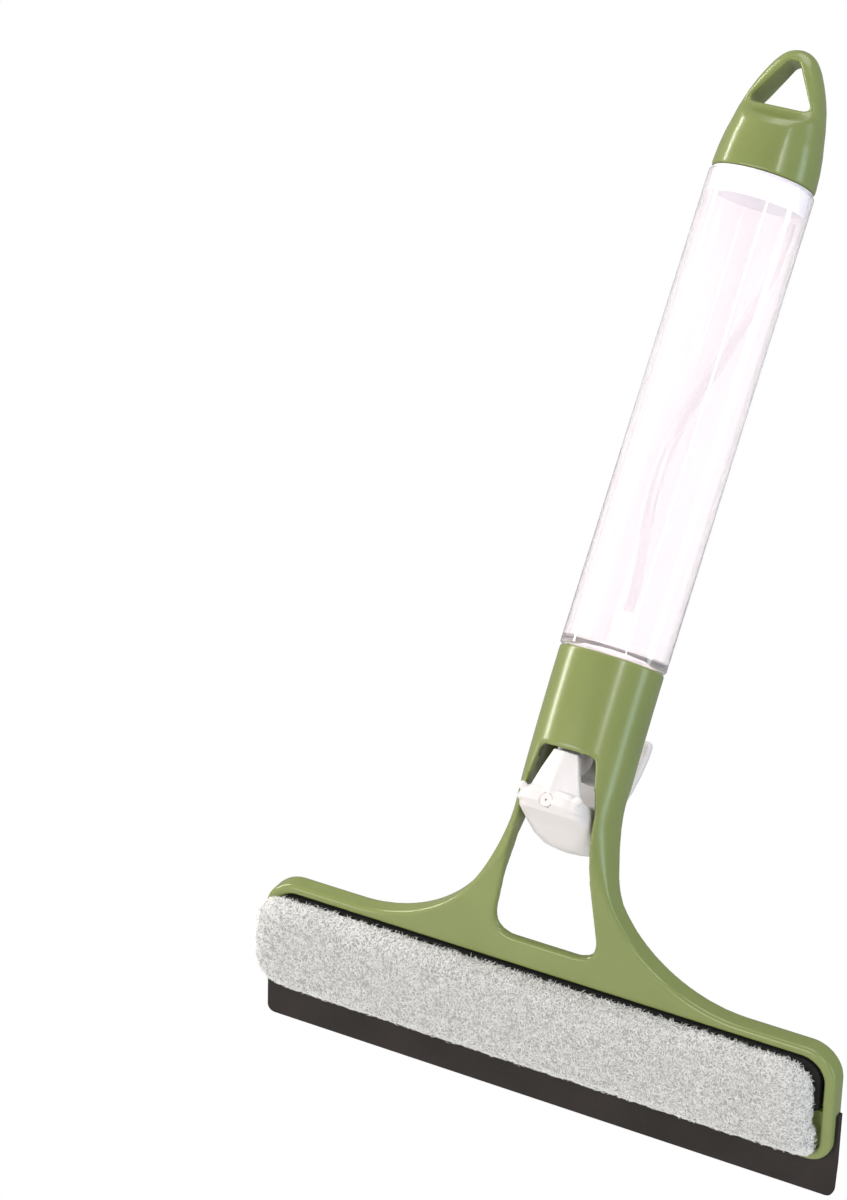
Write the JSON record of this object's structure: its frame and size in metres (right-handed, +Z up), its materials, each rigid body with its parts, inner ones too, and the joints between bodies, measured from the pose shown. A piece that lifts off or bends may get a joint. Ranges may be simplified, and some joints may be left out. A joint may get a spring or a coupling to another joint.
{
  "type": "window_squeegee",
  "caption": "Window squeegee with a clear spray bottle for a handle, a thumb trigger, a rubber wiping blade and a pull-off fleece pad, hung by its cap's loop",
  "frame": {"origin": "where a hook bears on the top of the cap's loop hole", "axes": "+Z up along the handle towards the cap, +X along the crossbar, -Y the way the pad and the nozzle face"},
  "size_m": [0.2375, 0.0852, 0.3933],
  "materials": {
    "sage_plastic": "injection moulded polypropylene, satin gloss",
    "clear_plastic": "clear moulded PET, see-through",
    "white_plastic": "moulded polypropylene",
    "milky_plastic": "extruded polyethylene, translucent",
    "black_rubber": "smooth moulded rubber",
    "silicone": "smooth silicone",
    "spring_steel": "stainless spring steel",
    "hook_tape": "black hook-and-loop tape",
    "white_fleece": "short-pile microfibre fleece",
    "grey_foam": "open-cell foam"
  },
  "bodies": {
    "frame_body": {"frame": "sage_plastic", "bottle_tube": "clear_plastic", "dip_tube": "milky_plastic", "dip_tube_adapter": "white_plastic", "pump_body": "white_plastic", "outlet_valve": "silicone", "piston_spring": "spring_steel", "trigger_pin": "spring_steel", "spray_housing": "white_plastic", "nozzle_insert": "white_plastic", "swirl_pin": "white_plastic", "rubber_blade": "black_rubber", "hook_strip": "hook_tape"},
    "cap_lift_body": {"cap_seal": "silicone"},
    "cap_body": {"hanging_cap": "sage_plastic"},
    "trigger_body": {"trigger": "white_plastic"},
    "piston_body": {"piston": "white_plastic", "piston_seal": "black_rubber"},
    "ball_body": {"inlet_ball": "spring_steel"},
    "pad_body": {"pad_backing": "hook_tape", "pad_core": "grey_foam", "pad_fleece": "white_fleece"}
  },
  "joints": [
    {"name": "trigger_pivot", "type": "hinge", "parent": "frame_body", "child": "trigger_body", "pos_m": [0, 0.0135, -0.285], "axis": [1, 0, 0], "range_deg": [0, 13], "stiffness_Nm_per_rad": 0.12, "springref_deg": -8.59},
    {"name": "piston_slide", "type": "slide", "parent": "frame_body", "child": "piston_body", "axis": [0, -1, 0], "range_m": [0, 0.0058], "deforming": ["piston_spring"]},
    {"name": "cap_lift", "type": "slide", "parent": "frame_body", "child": "cap_lift_body", "axis": [0, 0, 1], "range_m": [0, 0.01]},
    {"name": "cap_turn", "type": "hinge", "parent": "cap_lift_body", "child": "cap_body", "pos_m": [0, 0, -0.045], "axis": [0, 0, 1], "range_deg": [0, 900]},
    {"name": "inlet_ball_lift", "type": "slide", "parent": "frame_body", "child": "ball_body", "axis": [0, 0, 1], "range_m": [0, 0.001]},
    {"name": "pad_pull", "type": "slide", "parent": "frame_body", "child": "pad_body", "axis": [0, -0.8131, -0.5821], "range_m": [0, 0.03]}
  ],
  "couplings": [
    {"joint": "piston_slide", "follows": "trigger_pivot", "m_per_rad": 0.0255},
    {"joint": "cap_lift", "follows": "cap_turn", "m_per_rad": 0.00063662}
  ]
}
